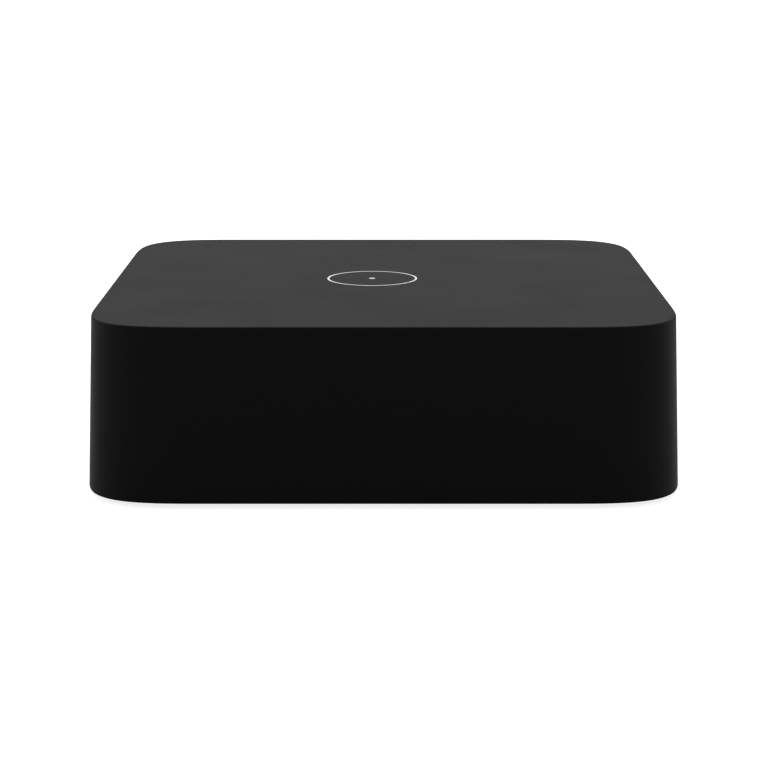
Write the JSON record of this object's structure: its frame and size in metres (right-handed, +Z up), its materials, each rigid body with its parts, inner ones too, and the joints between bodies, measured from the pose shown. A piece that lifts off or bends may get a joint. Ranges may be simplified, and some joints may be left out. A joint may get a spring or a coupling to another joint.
{
  "type": "streaming media player",
  "caption": "Low square set-top box with full rounded corners and leaning sides; sockets and a push button are behind a window in its back.",
  "frame": {"origin": "middle of the case at the height of the feet's soles, which is the table", "axes": "+Z up, -Y front (closed wall with the receiver behind it), +Y back (sockets), +X right as seen from the front"},
  "size_m": [0.1, 0.1, 0.03],
  "materials": {
    "case_plastic": "fine-grained moulded black",
    "cover_plastic": "coarser moulded black",
    "panel_plastic": "smooth satin black",
    "foot_rubber": "soft matt",
    "screw_steel": "black-oxidised",
    "bright_steel": "plated",
    "socket_plastic": "moulded black",
    "gold_contact": "gold-plated",
    "light_window": "frosted translucent",
    "button_plastic": "satin dark grey",
    "board_laminate": "solder mask",
    "chip_epoxy": "moulded epoxy",
    "pad_rubber": "soft grey",
    "sink_aluminium": "satin",
    "spring_steel": "bright wire",
    "can_aluminium": "bright",
    "ceramic_part": "matt",
    "aerial_film": "copper under film",
    "lead_jacket": "smooth black",
    "receiver_plastic": "dark tinted",
    "guide_plastic": "clear"
  },
  "bodies": {
    "case": {"housing": "case_plastic", "base_cover": "cover_plastic", "feet": "foot_rubber", "cover_screws": "screw_steel", "board_screws": "bright_steel", "port_panel": "panel_plastic", "hdmi_shell": "bright_steel", "hdmi_core": "socket_plastic", "hdmi_contacts": "gold_contact", "usb_shell": "bright_steel", "usb_core": "socket_plastic", "usb_contacts": "gold_contact", "network_housing": "socket_plastic", "network_shield": "bright_steel", "network_contacts": "gold_contact", "network_lights": "light_window", "power_body": "socket_plastic", "power_pin": "bright_steel", "power_spring": "bright_steel", "reset_switch": "socket_plastic", "main_board": "board_laminate", "processor": "chip_epoxy", "thermal_pad": "pad_rubber", "heat_sink": "sink_aluminium", "sink_pins": "screw_steel", "sink_springs": "spring_steel", "memory_chips": "chip_epoxy", "storage_chip": "chip_epoxy", "wireless_board": "board_laminate", "wireless_can": "bright_steel", "power_coils": "chip_epoxy", "capacitors": "can_aluminium", "crystals": "bright_steel", "regulators": "chip_epoxy", "small_parts": "ceramic_part", "network_transformer": "chip_epoxy", "infra_red_receiver": "receiver_plastic", "status_led": "light_window", "status_light_guide": "guide_plastic", "left_aerial": "aerial_film", "right_aerial": "aerial_film", "lead_plugs": "gold_contact", "left_lead": "lead_jacket", "right_lead": "lead_jacket"},
    "reset": {"reset_button": "button_plastic", "reset_plunger": "button_plastic"}
  },
  "joints": [
    {"name": "reset_press", "type": "slide", "parent": "case", "child": "reset", "axis": [0, -1, 0], "range_m": [0, 0.0003], "stiffness_N_per_m": 4000, "springref_m": -0.0001}
  ]
}
